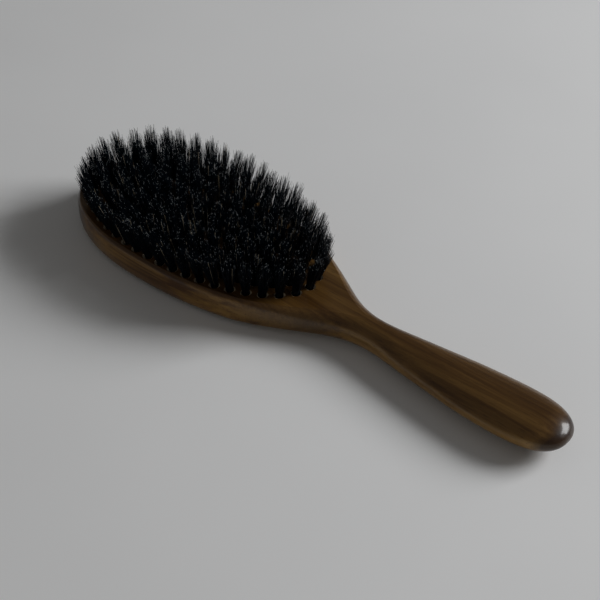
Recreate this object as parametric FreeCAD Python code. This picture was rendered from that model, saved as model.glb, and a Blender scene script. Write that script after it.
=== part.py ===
import FreeCAD, Part
import math
import os

# Oval hair brush: a one-piece wooden body with bristle tufts set straight into
# blind holes, each tuft folded over a flat wire anchor at the bottom of its hole.
# Millimetres. The brush lies on its back with the bristles up (+Z). X runs along
# the brush from the tip of the head (-X) to the end of the handle (+X). The origin
# is on the resting plane, under the middle of the brush.

# --- Driving dimensions -------------------------------------------------------
BRUSH_LENGTH = 220.0

HEAD_HALF_WIDTH = 29.3       # widest point of the head, each side of the middle
HEAD_WIDEST = 50.0           # distance of the widest point from the tip
HEAD_ROUNDNESS = 2.1         # exponent of the rounded outline round the tip

HANDLE_HALF_WIDTH = 11.7
HANDLE_WIDEST = 198.0
HANDLE_ROUNDNESS = 2.4

FACE_HEIGHT = 12.0           # flat bristle face above the table
TOP_RISE = 7.4               # from the widest line to the crown, before the face is planed
BACK_DROP = 6.8              # from the widest line down to the back, before it is sanded flat
PLANED_TO = 142.0            # the face is planed from the tip to here, in the neck

# Outline of the body between the widest points: distance from tip, half width.
SHOULDER_AND_NECK = [
    (HEAD_WIDEST, HEAD_HALF_WIDTH),
    (72.0, 28.2),
    (95.0, 23.6),
    (116.0, 14.8),
    (127.0, 8.9),
    (140.0, 5.7),
    (160.0, 8.2),
    (180.0, 10.7),
    (HANDLE_WIDEST, HANDLE_HALF_WIDTH),
]

# Height of the body's widest line above the table: the handle curves up to its end.
MID_LINE = [(0.0, 6.5), (145.0, 6.5), (185.0, 7.2), (220.0, 8.1)]

# Rise and drop along the body, as fractions of TOP_RISE and BACK_DROP.
TOP_PROFILE = [(0.0, 0.9), (12.0, 1.0), (50.0, 1.0), (108.0, 0.97), (140.0, 0.74), (185.0, 0.74), (220.0, 0.72)]
BACK_PROFILE = [(0.0, 0.9), (20.0, 1.0), (50.0, 1.0), (95.0, 0.97), (140.0, 0.84), (185.0, 0.95), (220.0, 0.88)]

# Squareness of the cross-section along the body: 2 is an ellipse.
SQUARENESS = [(0.0, 3.0), (12.0, 4.6), (95.0, 4.6), (122.0, 2.6), (150.0, 2.1), (220.0, 2.1)]

TIP_ROUNDING = 8.0           # length over which the head thins to its tip
END_ROUNDING = 11.0          # length over which the handle thins to its end
NOSE = 0.06                  # distance from each end to the first and last section

# Bristle field.
FIELD_CENTRE = 56.0          # widest part of the outer ring, from the tip
FIELD_TO_TIP = 47.0          # outer ring's reach towards the tip
FIELD_TO_NECK = 55.5         # outer ring's reach towards the neck
FIELD_HALF_WIDTH = 25.2
FIELD_ROUNDNESS = 2.28
RING_PITCH = 6.2
TUFTS_PER_RING = [42, 34, 26, 20]
SPINE_TUFTS = 9              # the row along the middle, inside the smallest ring
SPINE_REACH = 24.5           # half the length of that row

HOLE_RADIUS = 1.6
HOLE_DEPTH = 7.0
HOLE_CHAMFER = 0.35
FAN_ANGLE = 15.0             # lean of the outermost tufts, in degrees

TUFT_ROOT_RADIUS = 1.45
TUFT_ROOT_GAP = 0.1          # left under the fold at the bottom of the hole
# A tuft above the face, as (radius, height): it flares, then rounds over at its tips.
TUFT_PROFILE = [(TUFT_ROOT_RADIUS, 0.5), (2.6, 12.0), (2.4, 14.6), (1.5, 16.2), (0.0, 16.8)]

ANCHOR_LENGTH = 3.7          # longer than the hole is wide, so its ends bite the wood
ANCHOR_THICKNESS = 0.4
ANCHOR_WIDTH = 1.6
ANCHOR_DEPTH = 6.0           # depth of the anchor's lower edge below the face

SECTION_POINTS = 24          # points round one cross-section
TIP_SECTIONS = 9
MIDDLE_SECTIONS = 15
END_SECTIONS = 7
RING_SAMPLES = 720

UP = FreeCAD.Vector(0, 0, 1)
ORIGIN = FreeCAD.Vector(0, 0, 0)


# --- Body ---------------------------------------------------------------------
def along(distance, stations):
    """Smooth value at a distance from the tip, through (distance, value) stations."""
    last = len(stations) - 1
    i = 0
    while i < last - 1 and distance > stations[i + 1][0]:
        i += 1
    (x0, v0), (x1, v1) = stations[i], stations[i + 1]
    span = x1 - x0
    before = stations[max(i - 1, 0)]
    after = stations[min(i + 2, last)]
    slope0 = 0.0 if i == 0 else (v1 - before[1]) / (x1 - before[0])
    slope1 = 0.0 if i + 1 == last else (after[1] - v0) / (after[0] - x0)
    t = (distance - x0) / span
    return (
        v0 * (2 * t**3 - 3 * t**2 + 1)
        + slope0 * span * (t**3 - 2 * t**2 + t)
        + v1 * (3 * t**2 - 2 * t**3)
        + slope1 * span * (t**3 - t**2)
    )


def rounded(fraction, roundness):
    """Quarter superellipse: 0 at the very end, 1 where the rounding is over."""
    left = max(0.0, 1.0 - fraction)
    return (1.0 - left**roundness) ** (1.0 / roundness)


def half_width(distance):
    if distance < HEAD_WIDEST:
        return HEAD_HALF_WIDTH * rounded(distance / HEAD_WIDEST, HEAD_ROUNDNESS)
    if distance > HANDLE_WIDEST:
        fraction = (BRUSH_LENGTH - distance) / (BRUSH_LENGTH - HANDLE_WIDEST)
        return HANDLE_HALF_WIDTH * rounded(fraction, HANDLE_ROUNDNESS)
    return along(distance, SHOULDER_AND_NECK)


def end_thinning(distance):
    thinning = 1.0
    if distance < TIP_ROUNDING:
        thinning = rounded(distance / TIP_ROUNDING, 2.0)
    if BRUSH_LENGTH - distance < END_ROUNDING:
        thinning = rounded((BRUSH_LENGTH - distance) / END_ROUNDING, 2.0)
    return thinning


def top_rise(distance):
    return TOP_RISE * along(distance, TOP_PROFILE) * end_thinning(distance)


def back_drop(distance):
    return BACK_DROP * along(distance, BACK_PROFILE) * end_thinning(distance)


def to_x(distance):
    return distance - BRUSH_LENGTH / 2


def cross_section(distance):
    """Closed superellipse-like curve across the body."""
    power = 2.0 / along(distance, SQUARENESS)
    middle = along(distance, MID_LINE)
    points = []
    for i in range(SECTION_POINTS):
        angle = 2 * math.pi * i / SECTION_POINTS
        c, s = math.cos(angle), math.sin(angle)
        rise = top_rise(distance) if s > 0 else back_drop(distance)
        y = half_width(distance) * math.copysign(abs(c) ** power, c)
        z = middle + rise * math.copysign(abs(s) ** power, s)
        points.append(FreeCAD.Vector(to_x(distance), y, z))
    steps = [i / SECTION_POINTS for i in range(SECTION_POINTS + 1)]
    curve = Part.BSplineCurve()
    curve.interpolate(Points=points, PeriodicFlag=True, Parameters=steps)
    return Part.Wire([curve.toShape()])


def section_distances():
    """Sections crowd together towards both rounded ends."""
    distances = []
    for i in range(TIP_SECTIONS):
        angle = math.pi / 2 * i / TIP_SECTIONS
        distances.append(NOSE + (HEAD_WIDEST - NOSE) * (1 - math.cos(angle)))
    for i in range(MIDDLE_SECTIONS):
        distances.append(HEAD_WIDEST + (HANDLE_WIDEST - HEAD_WIDEST) * i / MIDDLE_SECTIONS)
    end_span = BRUSH_LENGTH - HANDLE_WIDEST - NOSE
    for i in range(END_SECTIONS + 1):
        angle = math.pi / 2 * i / END_SECTIONS
        distances.append(HANDLE_WIDEST + end_span * math.sin(angle))
    return distances


def make_blank():
    """Shaped wooden blank, planed flat on the bristle face and sanded flat on the back."""
    sections = [cross_section(d) for d in section_distances()]
    blank = Part.makeLoft(sections, True, False)
    behind_tip = FreeCAD.Vector(to_x(0.0) - TOP_RISE, -BRUSH_LENGTH / 2, FACE_HEIGHT)
    planed_off = Part.makeBox(PLANED_TO + TOP_RISE, BRUSH_LENGTH, TOP_RISE, behind_tip)
    below = FreeCAD.Vector(-BRUSH_LENGTH, -BRUSH_LENGTH / 2, -BACK_DROP)
    sanded_off = Part.makeBox(2 * BRUSH_LENGTH, BRUSH_LENGTH, BACK_DROP, below)
    return blank.cut([planed_off, sanded_off])


# --- Bristle field --------------------------------------------------------------
def ring_point(angle, inset):
    """Point of the egg-shaped ring at an angle, as distance from tip and y."""
    c, s = math.cos(angle), math.sin(angle)
    if c >= 0:
        reach, power = FIELD_TO_NECK - inset, 1.0
    else:
        reach, power = FIELD_TO_TIP - inset, 2.0 / FIELD_ROUNDNESS
    distance = FIELD_CENTRE + reach * math.copysign(abs(c) ** power, c)
    return distance, (FIELD_HALF_WIDTH - inset) * math.copysign(abs(s) ** power, s)


def ring_places(count, inset, shift):
    """Places evenly spaced round a ring; shift is a fraction of the spacing."""
    samples = [ring_point(2 * math.pi * i / RING_SAMPLES, inset) for i in range(RING_SAMPLES + 1)]
    travelled = [0.0]
    for a, b in zip(samples, samples[1:]):
        travelled.append(travelled[-1] + math.dist(a, b))
    places = []
    j = 0
    for i in range(count):
        target = travelled[-1] * (i + shift) / count
        while travelled[j + 1] < target:
            j += 1
        t = (target - travelled[j]) / (travelled[j + 1] - travelled[j])
        a, b = samples[j], samples[j + 1]
        places.append((a[0] + t * (b[0] - a[0]), a[1] + t * (b[1] - a[1])))
    return places


def spine_places():
    middle = FIELD_CENTRE + (FIELD_TO_NECK - FIELD_TO_TIP) / 2
    step = 2 * SPINE_REACH / (SPINE_TUFTS - 1)
    return [(middle - SPINE_REACH + i * step, 0.0) for i in range(SPINE_TUFTS)]


def placement(place):
    """Frame of one tuft: on the face, leaning outwards like a fan."""
    distance, y = place
    reach = FIELD_TO_NECK if distance > FIELD_CENTRE else FIELD_TO_TIP
    lean = math.radians(FAN_ANGLE)
    direction = FreeCAD.Vector(
        math.tan(lean * (distance - FIELD_CENTRE) / reach),
        math.tan(lean * y / FIELD_HALF_WIDTH),
        1.0,
    )
    on_face = FreeCAD.Vector(to_x(distance), y, FACE_HEIGHT)
    return FreeCAD.Placement(on_face, FreeCAD.Rotation(UP, direction))


def revolved(profile_edges):
    face = Part.Face(Part.Wire(profile_edges))
    return face.revolve(ORIGIN, UP, 360)


def polyline(points):
    corners = [FreeCAD.Vector(r, 0, z) for r, z in points]
    return [Part.LineSegment(a, b).toShape() for a, b in zip(corners, corners[1:])]


def make_anchor():
    corner = FreeCAD.Vector(-ANCHOR_LENGTH / 2, -ANCHOR_THICKNESS / 2, -ANCHOR_DEPTH)
    return Part.makeBox(ANCHOR_LENGTH, ANCHOR_THICKNESS, ANCHOR_WIDTH, corner)


def make_hole_tool(anchor):
    """Blind hole with a broken edge and the two nicks that the anchor bites."""
    lip = 0.25
    clear = 1.2
    flare = HOLE_RADIUS + HOLE_CHAMFER + lip
    drill = revolved(polyline([
        (0, -HOLE_DEPTH),
        (HOLE_RADIUS, -HOLE_DEPTH),
        (HOLE_RADIUS, -HOLE_CHAMFER),
        (flare, lip),
        (flare, clear),
        (0, clear),
        (0, -HOLE_DEPTH),
    ]))
    return drill.fuse(anchor)


def make_tuft(anchor):
    """Bundle of bristles: a straight root, a flare and a rounded tip."""
    bottom = -HOLE_DEPTH + TUFT_ROOT_GAP
    outline = [(0, bottom), (TUFT_ROOT_RADIUS, bottom)] + TUFT_PROFILE + [(0, bottom)]
    return revolved(polyline(outline)).cut(anchor)


# --- Nodes ----------------------------------------------------------------------
def side_of(place):
    return "left" if place[1] < -0.01 else "right"


def end_of(place):
    return "tip" if place[0] < FIELD_CENTRE else "neck"


def tuft_groups():
    """Tuft places by the name of their group."""
    groups = {}
    for number, count in enumerate(TUFTS_PER_RING, start=1):
        shift = 0.0 if number % 2 else 0.5
        for place in ring_places(count, (number - 1) * RING_PITCH, shift):
            name = f"ring{number}_{side_of(place)}"
            if number <= 2:
                name = f"ring{number}_{end_of(place)}_{side_of(place)}"
            groups.setdefault(name, []).append(place)
    groups["middle_row"] = spine_places()
    return groups


def placed(shape, places):
    copies = []
    for place in places:
        copy = shape.copy()
        copy.Placement = placement(place)
        copies.append(copy)
    return copies


def export(shape, node):
    shape.exportStep(f"parts/{node}.step")
    print(f"{node}: {len(shape.Solids)} solids, {shape.Volume:.1f} mm3, valid {shape.isValid()}")


def main():
    os.makedirs("parts", exist_ok=True)
    anchor = make_anchor()
    tuft = make_tuft(anchor)
    hole = make_hole_tool(anchor)
    body = make_blank()
    for name, places in tuft_groups().items():
        body = body.cut(placed(hole, places))
        export(Part.makeCompound(placed(tuft, places)), f"bristle_tufts_{name}")
        export(Part.makeCompound(placed(anchor, places)), f"tuft_anchors_{name}")
    export(body, "wooden_body")


main()
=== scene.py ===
"""Oval bristle hair brush: lacquered walnut body with dark natural bristle tufts."""
import math

import bpy
import numpy as np
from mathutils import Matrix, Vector


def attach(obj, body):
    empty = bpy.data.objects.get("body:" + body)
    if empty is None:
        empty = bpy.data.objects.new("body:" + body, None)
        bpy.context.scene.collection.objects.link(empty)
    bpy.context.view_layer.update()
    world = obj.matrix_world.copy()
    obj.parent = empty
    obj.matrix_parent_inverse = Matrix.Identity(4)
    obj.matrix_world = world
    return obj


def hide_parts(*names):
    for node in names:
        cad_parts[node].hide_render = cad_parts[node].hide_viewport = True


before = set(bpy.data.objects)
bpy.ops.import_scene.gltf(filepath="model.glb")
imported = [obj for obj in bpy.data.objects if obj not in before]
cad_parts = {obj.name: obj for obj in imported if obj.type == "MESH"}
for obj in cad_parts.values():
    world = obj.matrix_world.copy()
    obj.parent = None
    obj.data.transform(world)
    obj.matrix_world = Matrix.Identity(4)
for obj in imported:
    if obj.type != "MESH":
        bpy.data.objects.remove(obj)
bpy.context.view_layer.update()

# --- Camera and light -------------------------------------------------------
# Azimuths are degrees round the brush: 0 is seen looking along +Y, 90 looking along -X.
CAMERA_AZIMUTH = 41.4
CAMERA_ELEVATION = 40.0
CAMERA_DISTANCE = 0.5104
CAMERA_TARGET = Vector((-0.0055, 0.0029, 0.0))
CAMERA_FIELD = 24.0          # degrees, side to side
SENSOR_WIDTH = 36.0          # millimetres

WINDOW_LIGHT = {
    "azimuth": 143.0,
    "elevation": 29.0,
    "distance": 1.6,
    "size": (0.85, 0.65),
    "watts": 23.5,
    "colour": (0.98, 0.99, 1.0),
}
REFLECTOR_LIGHT = {
    "azimuth": 8.0,
    "elevation": 7.0,
    "distance": 1.2,
    "size": (1.2, 0.25),
    "watts": 1.6,
    "colour": (1.0, 0.95, 0.87),
}
ORIGIN = Vector((0.0, 0.0, 0.0))
ROOM_FRONT = (10.0, 20.0)    # azimuth and elevation of the room's brightest side
ROOM_DARKEST = 0.06
ROOM_BRIGHTEST = 0.12
ROOM_COLOUR = (1.0, 0.99, 0.97, 1.0)

# --- Floor --------------------------------------------------------------------
FLOOR_HALF_SIZE = 2.5
FLOOR_CLOUDS = (6.0, 6.0, 6.0)    # spots a metre along X, Y and Z
FLOOR_TONES = [(0.3, (0.80, 0.80, 0.80)), (0.7, (0.84, 0.84, 0.84))]
FLOOR_ROUGHNESS = 0.6

# --- Wood and brass --------------------------------------------------------------
# A grain is its number of spots a metre along X, Y and Z, and it runs along the brush.
BLACK = (0.0, 0.0, 0.0)
WHITE = (1.0, 1.0, 1.0)
FIGURE_GRAIN = (9.0, 70.0, 70.0)
BAND_GRAIN = (16.0, 620.0, 620.0)
PORE_GRAIN = (150.0, 3400.0, 3400.0)
FIGURE_SHARE = 0.6           # share of the broad figure in the wood's tone; the bands are the rest
HEART_TONES = [
    (0.34, (0.022, 0.0085, 0.0022)),
    (0.45, (0.060, 0.0275, 0.0066)),
    (0.56, (0.106, 0.0540, 0.0140)),
    (0.68, (0.148, 0.0800, 0.0220)),
]
# Paler tones painted on the body's sides, where the floor lights them: painted light.
SIDE_LIGHT_TONES = [
    (0.36, (0.055, 0.023, 0.0055)),
    (0.50, (0.180, 0.098, 0.0230)),
    (0.68, (0.260, 0.152, 0.0420)),
]
SIDE_LIGHT_WHERE = [(0.22, (0.3, 0.3, 0.3)), (0.36, WHITE), (0.58, WHITE), (0.82, BLACK)]
SIDE_LIGHT_STRENGTH = 0.85
PORE_WHERE = [(0.30, WHITE), (0.42, BLACK)]
PORE_STRENGTH = 0.5
PORE_TONE = (0.018, 0.008, 0.002)
END_GRAIN_WHERE = [(0.30, BLACK), (0.52, WHITE)]
END_GRAIN_STRENGTH = 0.85
END_GRAIN_TONE = (0.013, 0.0050, 0.0035)
LACQUER_SPECULAR = 0.20
LACQUER_COAT = 0.35
LACQUER_COAT_ROUGHNESS = 0.12
GRAIN_DEPTH = 0.0001         # height of the wood's bumps

RAW_GRAIN = (400.0, 2400.0, 2400.0)
# Bare wood at the tuft holes, painted pale enough to stand in for the glints on the hole rims: partly
# painted highlight.
RAW_AND_GLINT_TONES = [(0.3, (0.42, 0.33, 0.22)), (0.7, (0.74, 0.64, 0.50))]

DRAWN_GRAIN = (200.0, 4000.0, 4000.0)
BRASS_TONES = [(0.3, (0.42, 0.29, 0.12)), (0.7, (0.62, 0.46, 0.22))]

# --- Bristles ----------------------------------------------------------------
# A hair is its darker tone, its lighter tone and its roughness.
HAIR_DRIFT = (900.0, 900.0, 140.0)    # spots of tone a metre along X, Y and Z
HAIR_SPECULAR = 0.10
DARK_HAIR = ((0.0003, 0.0011, 0.0024), (0.0014, 0.0042, 0.0080), 0.22)
BLOND_HAIR = ((0.20, 0.16, 0.10), (0.45, 0.39, 0.29), 0.40)
# Pale grey tips on some bristles are painted glints on their cut ends.
TIP_GLINT = ((0.16, 0.18, 0.19), (0.42, 0.44, 0.44), 0.45)

SEED = 4
BRISTLES_PER_TUFT = 140
BLOND_SHARE = 0.013          # share of bristles that are blond
BRISTLE_RADIUS = 0.000115
RADIUS_SPREAD = 0.12         # how much the bristles' radii differ, as a share
BRISTLE_SIDES = 3            # three, so that one triangle closes a bristle's root
BRISTLE_RINGS = 6
ACROSS = [0.31, 0.95, 0.05]  # a direction that no bristle points in
CUT_TIP = 0.022              # share of a bristle's length that is its cut tip
GLINT_TIPS = 0.24             # share of bristles whose cut tip is painted pale, as a painted glint
TIP_TAPER = 0.42             # tip radius as a share of the root radius
POINT_LENGTH = 3.0           # length of a bristle's closing point, in tip radii

ROOT_SPREAD = 0.00125        # radius of the bundle where it leaves the hole
BURIED = 0.0022              # how far the bristles run down into the hole
CROWN_RADIUS = 0.0027        # how far the outer bristles of a tuft stand from its axis at their tips
SPLAY_SPREAD = 0.18          # how much the bristles' splays differ, as a share
STRAY_SHARE = 0.04           # share of bristles that stand out further than the rest
STRAY_REACH = 0.0008         # the most by which they do
STRAY_LEAST = 0.2            # the least, as a share of the most
TIP_DRIFT = 0.00036          # how far a bristle's tip bends off its line

LOWEST_TUFT = 0.95           # height of the lowest tufts as a share of their CAD height
LEAN_CHANGE = 0.035          # how much a tuft's lean differs from its neighbours', in radians
SHORTEST = 0.70              # length of the outer bristles as a share of the middle ones
CROWN_POWER = 1.3            # how late the crown falls off towards its edge
LENGTH_SPREAD = 0.07         # how much the bristles' lengths differ, as a share
WORN_SHARE = 0.25            # share of bristles that are worn shorter
WORN_LENGTHS = (0.6, 0.95)   # what is left of them
LEAST_LENGTH = 0.4           # no bristle is shorter than this share of its tuft

# --- Reading the frame -----------------------------------------------------------
SAME_POINT = 2e-6            # vertices this close together are one point
FOOT_DEPTH = 2e-5            # points this close to a tuft's lowest one belong to its foot
HOLE_REACH = 0.00215         # no face of a hole lies further from the hole's axis
FACE_SKIN = 0.00001          # the faces of a hole lie lower than this below the bristle face


def aimed(name, data, place, target):
    """A camera or light at a place, turned to face the target."""
    holder = bpy.data.objects.new(name, data)
    bpy.context.scene.collection.objects.link(holder)
    holder.location = place
    holder.rotation_euler = (target - place).to_track_quat("-Z", "Y").to_euler()
    return holder


def around(azimuth, elevation, distance, target):
    """The place at a distance from the target, in the direction of an azimuth and elevation."""
    turn = math.radians(azimuth)
    rise = math.radians(elevation)
    back = Vector((math.sin(turn) * math.cos(rise), -math.cos(turn) * math.cos(rise), math.sin(rise)))
    return target + distance * back


def make_camera():
    data = bpy.data.cameras.new("camera")
    data.sensor_width = SENSOR_WIDTH
    data.lens = data.sensor_width / 2 / math.tan(math.radians(CAMERA_FIELD / 2))
    place = around(CAMERA_AZIMUTH, CAMERA_ELEVATION, CAMERA_DISTANCE, CAMERA_TARGET)
    bpy.context.scene.camera = aimed("camera", data, place, CAMERA_TARGET)


def area_light(name, azimuth, elevation, distance, size, watts, colour):
    data = bpy.data.lights.new(name, "AREA")
    data.shape = "RECTANGLE"
    data.size, data.size_y = size
    data.energy = watts
    data.color = colour
    return aimed(name, data, around(azimuth, elevation, distance, ORIGIN), ORIGIN)


def make_lights():
    """A window behind the brush, a weak reflector in front that leaves no highlight, and the room."""
    area_light("window", **WINDOW_LIGHT)
    reflector = area_light("reflector", **REFLECTOR_LIGHT)
    reflector.visible_glossy = False
    bpy.context.scene.world = room_light()
    bpy.context.scene.view_settings.view_transform = "Standard"


def room_light():
    """A dim room whose front, where the viewer stands, is brighter than its back."""
    world = bpy.data.worlds.new("studio")
    world.use_nodes = True
    tree = world.node_tree
    background = tree.nodes["Background"]
    background.inputs["Color"].default_value = ROOM_COLOUR
    place = tree.nodes.new("ShaderNodeTexCoord")
    facing = tree.nodes.new("ShaderNodeVectorMath")
    facing.operation = "DOT_PRODUCT"
    facing.inputs[1].default_value = around(*ROOM_FRONT, 1.0, ORIGIN)
    strength = tree.nodes.new("ShaderNodeMapRange")
    strength.inputs["From Min"].default_value = -1.0
    strength.inputs["From Max"].default_value = 1.0
    strength.inputs["To Min"].default_value = ROOM_DARKEST
    strength.inputs["To Max"].default_value = ROOM_BRIGHTEST
    tree.links.new(place.outputs["Generated"], facing.inputs[0])
    tree.links.new(facing.outputs["Value"], strength.inputs["Value"])
    tree.links.new(strength.outputs["Result"], background.inputs["Strength"])
    return world


# --- Materials -----------------------------------------------------------------
class Nodes:
    """Short hand for building one material's node tree."""

    MIX_FIRST = 6      # sockets of a Mix node that mixes colours
    MIX_SECOND = 7
    MIX_RESULT = 2

    def __init__(self, name):
        self.material = bpy.data.materials.new(name)
        self.material.use_nodes = True
        self.tree = self.material.node_tree
        self.shader = self.tree.nodes["Principled BSDF"]

    def add(self, kind, **settings):
        node = self.tree.nodes.new(kind)
        for key, value in settings.items():
            setattr(node, key, value)
        return node

    def feed(self, value, socket):
        """Set a socket to a number or a colour, or link another node's output to it."""
        if isinstance(value, (int, float)):
            socket.default_value = value
        elif isinstance(value, tuple):
            socket.default_value = (*value, 1.0)
        else:
            self.tree.links.new(value, socket)

    def surface(self, name, value):
        """Feed one input of the surface shader."""
        self.feed(value, self.shader.inputs[name])

    def noise(self, grain, detail, rough=0.55, distortion=0.0):
        """Noise in object coordinates, with a number of spots a metre along each axis."""
        place = self.add("ShaderNodeTexCoord")
        mapping = self.add("ShaderNodeMapping")
        mapping.inputs["Scale"].default_value = grain
        self.feed(place.outputs["Object"], mapping.inputs["Vector"])
        node = self.add("ShaderNodeTexNoise")
        node.inputs["Scale"].default_value = 1.0
        node.inputs["Detail"].default_value = detail
        node.inputs["Roughness"].default_value = rough
        node.inputs["Distortion"].default_value = distortion
        self.feed(mapping.outputs["Vector"], node.inputs["Vector"])
        return node.outputs["Fac"]

    def ramp(self, value, stops):
        node = self.add("ShaderNodeValToRGB")
        elements = node.color_ramp.elements
        while len(elements) < len(stops):
            elements.new(0.5)
        for element, (position, colour) in zip(elements, stops):
            element.position = position
            element.color = (*colour, 1.0)
        self.feed(value, node.inputs["Fac"])
        return node.outputs["Color"]

    def mix(self, factor, first, second):
        node = self.add("ShaderNodeMix", data_type="RGBA")
        self.feed(factor, node.inputs["Factor"])
        self.feed(first, node.inputs[self.MIX_FIRST])
        self.feed(second, node.inputs[self.MIX_SECOND])
        return node.outputs[self.MIX_RESULT]

    def maths(self, operation, first, second=0.0):
        node = self.add("ShaderNodeMath", operation=operation)
        self.feed(first, node.inputs[0])
        self.feed(second, node.inputs[1])
        return node.outputs[0]

    def scaled(self, value, times, plus):
        return self.maths("ADD", self.maths("MULTIPLY", value, times), plus)

    def bump(self, height, strength, distance):
        node = self.add("ShaderNodeBump")
        node.inputs["Strength"].default_value = strength
        node.inputs["Distance"].default_value = distance
        self.feed(height, node.inputs["Height"])
        self.surface("Normal", node.outputs["Normal"])


def wood_material():
    """Walnut: long grain along X, fine pores, sides painted paler as painted light from the floor, dark
    end grain, satin lacquer.
    """
    n = Nodes("lacquered_walnut")
    figure = n.noise(FIGURE_GRAIN, detail=3.0, rough=0.5, distortion=0.6)
    bands = n.noise(BAND_GRAIN, detail=5.0, rough=0.6, distortion=0.3)
    pores = n.noise(PORE_GRAIN, detail=2.0, rough=0.5)
    tone = n.maths(
        "ADD",
        n.maths("MULTIPLY", figure, FIGURE_SHARE),
        n.maths("MULTIPLY", bands, 1.0 - FIGURE_SHARE),
    )
    place = n.add("ShaderNodeTexCoord")
    normal = n.add("ShaderNodeSeparateXYZ")
    n.feed(place.outputs["Normal"], normal.inputs["Vector"])

    # 0 on a face that looks down and 1 on one that looks up; the sides between them are painted paler,
    # as painted light from the floor
    upward = n.scaled(normal.outputs["Z"], times=0.5, plus=0.5)
    # painted light: sides get the paler tones
    side_light = n.maths("MULTIPLY", n.ramp(upward, SIDE_LIGHT_WHERE), SIDE_LIGHT_STRENGTH)
    colour = n.mix(side_light, n.ramp(tone, HEART_TONES), n.ramp(tone, SIDE_LIGHT_TONES))

    pore = n.maths("MULTIPLY", n.ramp(pores, PORE_WHERE), PORE_STRENGTH)
    colour = n.mix(pore, colour, PORE_TONE)

    endways = n.maths("ABSOLUTE", normal.outputs["X"])
    end_grain = n.maths("MULTIPLY", n.ramp(endways, END_GRAIN_WHERE), END_GRAIN_STRENGTH)
    colour = n.mix(end_grain, colour, END_GRAIN_TONE)

    n.surface("Base Color", colour)
    n.surface("Roughness", n.scaled(bands, times=0.18, plus=0.26))
    n.surface("Specular IOR Level", LACQUER_SPECULAR)
    n.surface("Coat Weight", LACQUER_COAT)
    n.surface("Coat Roughness", LACQUER_COAT_ROUGHNESS)
    n.bump(n.maths("SUBTRACT", bands, pore), strength=0.22, distance=GRAIN_DEPTH)
    return n.material


def bristle_material(name, darker, lighter, roughness):
    """Natural hair, whose colour drifts along and between the bristles."""
    n = Nodes(name)
    drift = n.noise(HAIR_DRIFT, detail=2.0, rough=0.6)
    n.surface("Base Color", n.ramp(drift, [(0.35, darker), (0.72, lighter)]))
    n.surface("Roughness", n.scaled(drift, times=0.2, plus=roughness))
    n.surface("Specular IOR Level", HAIR_SPECULAR)
    return n.material


def raw_wood_and_glint_material():
    """Bare, paler walnut where the tuft holes are drilled through the lacquer, painted paler still as a
    painted glint on the hole rims.
    """
    n = Nodes("raw_walnut_and_glint")
    fibres = n.noise(RAW_GRAIN, detail=3.0, rough=0.6)
    n.surface("Base Color", n.ramp(fibres, RAW_AND_GLINT_TONES))
    n.surface("Roughness", n.scaled(fibres, times=0.3, plus=0.40))
    n.bump(fibres, strength=0.3, distance=GRAIN_DEPTH)
    return n.material


def anchor_material():
    """Brass wire, with the marks that drawing it leaves."""
    n = Nodes("anchor_brass")
    drawn = n.noise(DRAWN_GRAIN, detail=3.0)
    n.surface("Base Color", n.ramp(drawn, BRASS_TONES))
    n.surface("Roughness", n.scaled(drawn, times=0.2, plus=0.25))
    n.surface("Metallic", 1.0)
    return n.material


def floor_material():
    n = Nodes("painted_floor")
    clouds = n.noise(FLOOR_CLOUDS, detail=3.0)
    n.surface("Base Color", n.ramp(clouds, FLOOR_TONES))
    n.surface("Roughness", FLOOR_ROUGHNESS)
    return n.material


def paint(node, material):
    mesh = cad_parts[node].data
    mesh.materials.clear()
    mesh.materials.append(material)


# --- What the frame says -----------------------------------------------------------
def vertex_positions(mesh):
    points = np.empty(len(mesh.vertices) * 3)
    mesh.vertices.foreach_get("co", points)
    return points.reshape(-1, 3)


def islands(mesh):
    """Vertex positions of each separate solid in a CAD node's mesh."""
    points = vertex_positions(mesh)
    keys = np.round(points / SAME_POINT).astype(np.int64)
    _, merged = np.unique(keys, axis=0, return_inverse=True)
    merged = merged.reshape(-1)
    label = np.arange(merged.max() + 1)
    edges = np.empty(len(mesh.edges) * 2, dtype=np.int64)
    mesh.edges.foreach_get("vertices", edges)
    edges = merged[edges.reshape(-1, 2)]
    # Each point takes the lowest label among its neighbours, until one label is left on each solid.
    while True:
        lower = np.minimum(label[edges[:, 0]], label[edges[:, 1]])
        before = label.copy()
        np.minimum.at(label, edges[:, 0], lower)
        np.minimum.at(label, edges[:, 1], lower)
        label = label[label]
        if np.array_equal(label, before):
            break
    owner = label[merged]
    return [points[owner == solid] for solid in np.unique(owner)]


def bristle_face_height():
    """Height of the flat bristle face, which is the top of the body's head, where x is below 0."""
    points = vertex_positions(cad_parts["wooden_body"].data)
    return float(points[points[:, 0] < 0.0, 2].max())


def tuft_axis(points, face_z):
    """Where a tuft leaves the face, the way it points, and its length above the face."""
    tip = points[points[:, 2].argmax()]
    centred = points - points.mean(axis=0)
    axis = np.linalg.svd(centred, full_matrices=False)[2][0]
    axis = axis * np.sign(axis[2])
    heights = points @ axis
    foot = points[heights < heights.min() + FOOT_DEPTH].mean(axis=0)
    axis = (tip - foot) / np.linalg.norm(tip - foot)
    height = (tip[2] - face_z) / axis[2]
    return tip - axis * height, axis, height


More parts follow.
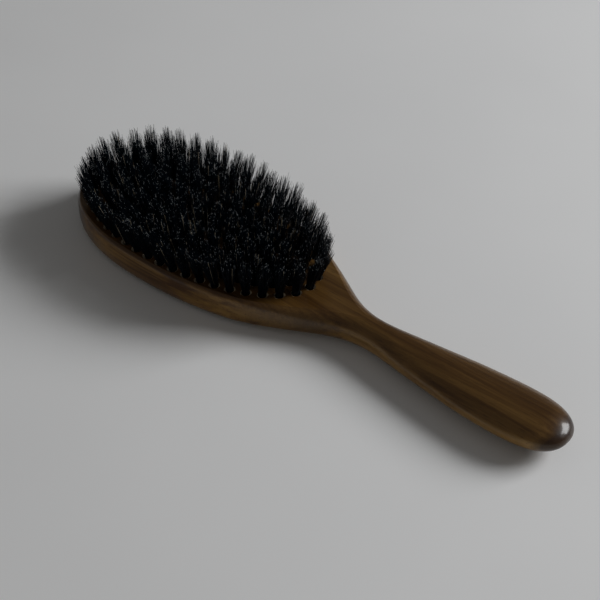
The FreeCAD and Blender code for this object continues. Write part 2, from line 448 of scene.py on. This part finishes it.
def bare_and_glint_the_holes(tufts, face_z):
    """Give the raw wood's material, with its painted rim glint, to the faces of the body that lie round
    the axis of a tuft hole.
    """
    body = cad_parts["wooden_body"].data
    # bare wood, painted pale as a glint on the hole rims
    body.materials.append(raw_wood_and_glint_material())
    centres = np.empty(len(body.polygons) * 3)
    body.polygons.foreach_get("center", centres)
    centres = centres.reshape(-1, 3)
    drilled = np.zeros(len(centres), dtype=bool)
    for root, axis, _ in tufts:
        from_root = centres - root
        off_axis = from_root - (from_root @ axis)[:, None] * axis
        drilled |= (off_axis**2).sum(axis=1) < HOLE_REACH**2
    drilled &= centres[:, 2] < face_z - FACE_SKIN
    body.polygons.foreach_set("material_index", np.where(drilled, 1, 0))
    body.update()


# --- Tufts ---------------------------------------------------------------------
def ring_steps():
    """Where along a bristle its rings lie: evenly, with one more at the root of its cut tip."""
    return np.append(np.linspace(0.0, 1.0 - CUT_TIP, BRISTLE_RINGS - 1), 1.0)


def bristle_lengths(height, out, dice):
    """How far each bristle stands above the face; out is 0 in a tuft's middle and 1 at its edge."""
    count = len(out)
    crown = 1.0 - (1.0 - SHORTEST) * out**CROWN_POWER
    length = height * crown * dice.normal(1.0, LENGTH_SPREAD, count)
    worn = dice.uniform(0, 1, count) < WORN_SHARE
    length *= np.where(worn, dice.uniform(*WORN_LENGTHS, count), 1.0)
    return np.clip(length, LEAST_LENGTH * height, height)


def bristle_splays(out, dice):
    """How far each bristle moves outwards by the height of the crown's edge."""
    count = len(out)
    splay = (CROWN_RADIUS - ROOT_SPREAD) * out * dice.normal(1.0, SPLAY_SPREAD, count)
    stray = dice.uniform(0, 1, count) < STRAY_SHARE
    return np.where(stray, splay + STRAY_REACH * dice.uniform(STRAY_LEAST, 1.0, count), splay)


def bristle_paths(root, axis, height, dice):
    """Centre lines of one tuft's bristles: an array of bristle, ring, xyz."""
    side = np.cross(axis, [0.0, 1.0, 0.0])
    side /= np.linalg.norm(side)
    other = np.cross(axis, side)
    lean = dice.normal(0.0, LEAN_CHANGE, 2)
    axis = axis + lean[0] * side + lean[1] * other
    axis /= np.linalg.norm(axis)
    height = height * dice.uniform(LOWEST_TUFT, 1.0)
    turn = dice.uniform(0, 2 * np.pi, BRISTLES_PER_TUFT)
    out = np.sqrt(dice.uniform(0, 1, BRISTLES_PER_TUFT))
    outward = np.cos(turn)[:, None] * side + np.sin(turn)[:, None] * other
    length = bristle_lengths(height, out, dice)
    splay = bristle_splays(out, dice)
    drift = dice.normal(0.0, TIP_DRIFT, (BRISTLES_PER_TUFT, 2))

    along = -BURIED + (length[:, None] + BURIED) * ring_steps()
    free = np.clip(along / height, 0.0, 1.0)
    reach = (ROOT_SPREAD * out)[:, None] + splay[:, None] * (free / SHORTEST)
    paths = root + along[:, :, None] * axis + reach[:, :, None] * outward[:, None, :]
    bend_side = free**2 * drift[:, :1]
    bend_other = free**2 * drift[:, 1:]
    bend = bend_side[:, :, None] * side + bend_other[:, :, None] * other
    return paths + bend


def tube_faces():
    """The quads and triangles of one bristle, as vertex numbers counted from its first vertex."""
    quads = []
    triangles = []
    last_ring = (BRISTLE_RINGS - 1) * BRISTLE_SIDES
    point = BRISTLE_RINGS * BRISTLE_SIDES
    for lower in range(0, last_ring, BRISTLE_SIDES):
        upper = lower + BRISTLE_SIDES
        for this in range(BRISTLE_SIDES):
            following = (this + 1) % BRISTLE_SIDES
            quads.append((lower + this, lower + following, upper + following, upper + this))
    for this in range(BRISTLE_SIDES):
        following = (this + 1) % BRISTLE_SIDES
        triangles.append((last_ring + this, last_ring + following, point))
    triangles.append(tuple(reversed(range(BRISTLE_SIDES))))
    return np.array(quads), np.array(triangles)


def tubes(paths, radii):
    """Vertices and faces of tapered tubes round centre lines, each closed to a point at its tip."""
    count = len(paths)
    along = np.gradient(paths, ring_steps(), axis=1)
    along /= np.linalg.norm(along, axis=2, keepdims=True)
    first = np.cross(along, ACROSS)
    first /= np.linalg.norm(first, axis=2, keepdims=True)
    second = np.cross(along, first)
    angle = 2 * np.pi * np.arange(BRISTLE_SIDES)[:, None] / BRISTLE_SIDES
    circles = np.cos(angle) * first[:, :, None, :] + np.sin(angle) * second[:, :, None, :]
    rings = paths[:, :, None, :] + radii[:, :, None, None] * circles
    points = paths[:, -1] + along[:, -1] * radii[:, -1:] * POINT_LENGTH
    vertices = np.concatenate([rings.reshape(count, -1, 3), points[:, None, :]], axis=1)
    quads, triangles = tube_faces()
    starts = (np.arange(count) * vertices.shape[1])[:, None, None]
    faces = (quads + starts).reshape(-1, 4).tolist()
    faces += (triangles + starts).reshape(-1, 3).tolist()
    return vertices.reshape(-1, 3), faces


def tip_faces(glinting):
    """1 for each face of a tip painted with a glint, else 0, in the order of the faces that tubes()
    makes.
    """
    sides = np.zeros((len(glinting), BRISTLE_RINGS - 1, BRISTLE_SIDES), dtype=int)
    sides[:, -1, :] = glinting[:, None]
    ends = np.zeros((len(glinting), BRISTLE_SIDES + 1), dtype=int)
    ends[:, :-1] = glinting[:, None]
    return np.concatenate([sides.reshape(-1), ends.reshape(-1)])


def bristle_piece(name, groups, materials, dice):
    """One mesh of many bristles; materials are those of the hair and of its painted tip glints."""
    paths = np.concatenate(groups)
    taper = np.interp(ring_steps(), [0.0, 1.0 - CUT_TIP, 1.0], [1.0, TIP_TAPER, TIP_TAPER])
    radii = BRISTLE_RADIUS * dice.normal(1.0, RADIUS_SPREAD, len(paths))[:, None] * taper
    # bristles whose tips get the painted glint
    glinting = dice.uniform(0, 1, len(paths)) < GLINT_TIPS
    vertices, faces = tubes(paths, radii)
    mesh = bpy.data.meshes.new(name)
    mesh.from_pydata(vertices.tolist(), [], faces)
    mesh.polygons.foreach_set("use_smooth", [True] * len(mesh.polygons))
    for material in materials:
        mesh.materials.append(material)
    mesh.polygons.foreach_set("material_index", tip_faces(glinting))
    mesh.update()
    piece = bpy.data.objects.new(name, mesh)
    bpy.context.scene.collection.objects.link(piece)
    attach(piece, "root")
    return piece


def make_tufts(face_z):
    """Bristles in place of every CAD tuft; returns the root, axis and height of each tuft."""
    dark = bristle_material("dark_bristle", *DARK_HAIR)
    blond = bristle_material("blond_bristle", *BLOND_HAIR)
    # pale tips that stand in for glints: painted highlights
    tip_glints = bristle_material("painted_tip_glints", *TIP_GLINT)
    dice = np.random.default_rng(SEED)
    all_tufts = []
    blond_paths = []
    for node in sorted(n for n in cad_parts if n.startswith("bristle_tufts")):
        tufts = [tuft_axis(points, face_z) for points in islands(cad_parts[node].data)]
        all_tufts += tufts
        dark_paths = []
        for root, axis, height in tufts:
            paths = bristle_paths(root, axis, height, dice)
            is_blond = dice.uniform(0, 1, BRISTLES_PER_TUFT) < BLOND_SHARE
            blond_paths.append(paths[is_blond])
            dark_paths.append(paths[~is_blond])
        piece = bristle_piece(node.replace("bristle_tufts", "bristles"), dark_paths, [dark, tip_glints], dice)
        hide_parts(node)
    bristle_piece("blond_bristles", blond_paths, [blond, tip_glints], dice)
    return all_tufts


# --- Scene -----------------------------------------------------------------------
def make_floor():
    half = FLOOR_HALF_SIZE
    mesh = bpy.data.meshes.new("floor")
    corners = [(-half, -half, 0.0), (half, -half, 0.0), (half, half, 0.0), (-half, half, 0.0)]
    mesh.from_pydata(corners, [], [(0, 1, 2, 3)])
    mesh.materials.append(floor_material())
    floor = bpy.data.objects.new("floor", mesh)
    bpy.context.scene.collection.objects.link(floor)


def main():
    make_camera()
    make_lights()
    make_floor()
    paint("wooden_body", wood_material())
    brass = anchor_material()
    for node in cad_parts:
        if node.startswith("tuft_anchors"):
            paint(node, brass)
    face_z = bristle_face_height()
    tufts = make_tufts(face_z)
    bare_and_glint_the_holes(tufts, face_z)


main()
